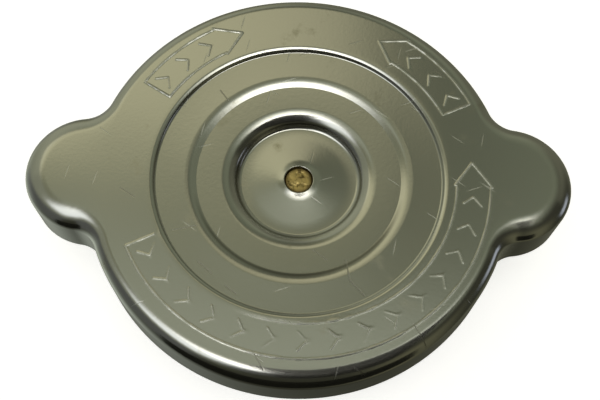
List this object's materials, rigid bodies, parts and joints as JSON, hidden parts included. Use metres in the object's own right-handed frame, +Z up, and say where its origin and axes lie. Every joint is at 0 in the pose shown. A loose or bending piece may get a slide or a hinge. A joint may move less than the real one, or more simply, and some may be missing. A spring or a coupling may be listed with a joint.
{
  "type": "coolant reservoir cap",
  "caption": "Bayonet filler cap with an eared, ring-stepped pressed cover, locking claws, neck seal, and a sprung pressure valve that carries a vacuum valve.",
  "frame": {"origin": "on the cap's turning axis, at the level of the valve plate's folded rim on which it stands: the centre of the bottom of its box", "axes": "+X along the two ears, +Y along the two locking claws, +Z up along the turning axis, out of the cover's top"},
  "size_m": [0.1036, 0.08, 0.0323],
  "materials": {
    "plated_cover_steel": "bright nickel plating, worn and yellowed",
    "zinc_plated_steel": "zinc plated pressing",
    "spring_steel": "bare spring steel",
    "rivet_brass": "worn, dirty brass",
    "valve_brass": "turned brass",
    "seal_rubber": "moulded black rubber"
  },
  "bodies": {
    "cover": {"cover_shell": "plated_cover_steel", "locking_cup": "zinc_plated_steel"},
    "valve_unit": {"centre_rivet": "rivet_brass", "thrust_washer": "rivet_brass", "cage_washer": "zinc_plated_steel", "spring_disc": "spring_steel", "neck_seal": "seal_rubber", "seal_plate": "zinc_plated_steel", "valve_cage": "zinc_plated_steel", "pressure_spring": "spring_steel"},
    "pressure_valve": {"guide_cup": "zinc_plated_steel", "valve_plate": "zinc_plated_steel", "pressure_seal": "seal_rubber", "vacuum_spring": "spring_steel"},
    "vacuum_valve": {"vacuum_valve": "valve_brass", "vacuum_spring_cap": "valve_brass"}
  },
  "joints": [
    {"name": "valve_unit_swivel", "type": "hinge", "parent": "cover", "child": "valve_unit", "pos_m": [0, 0, 0.0274], "axis": [0, 0, 1], "continuous": true},
    {"name": "pressure_valve_lift", "type": "slide", "parent": "valve_unit", "child": "pressure_valve", "axis": [0, 0, 1], "range_m": [0, 0.0035], "stiffness_N_per_m": 8000, "deforming": ["pressure_spring"]},
    {"name": "vacuum_valve_drop", "type": "slide", "parent": "pressure_valve", "child": "vacuum_valve", "axis": [0, 0, -1], "range_m": [0, 0.0015], "stiffness_N_per_m": 300, "deforming": ["vacuum_spring"]}
  ]
}
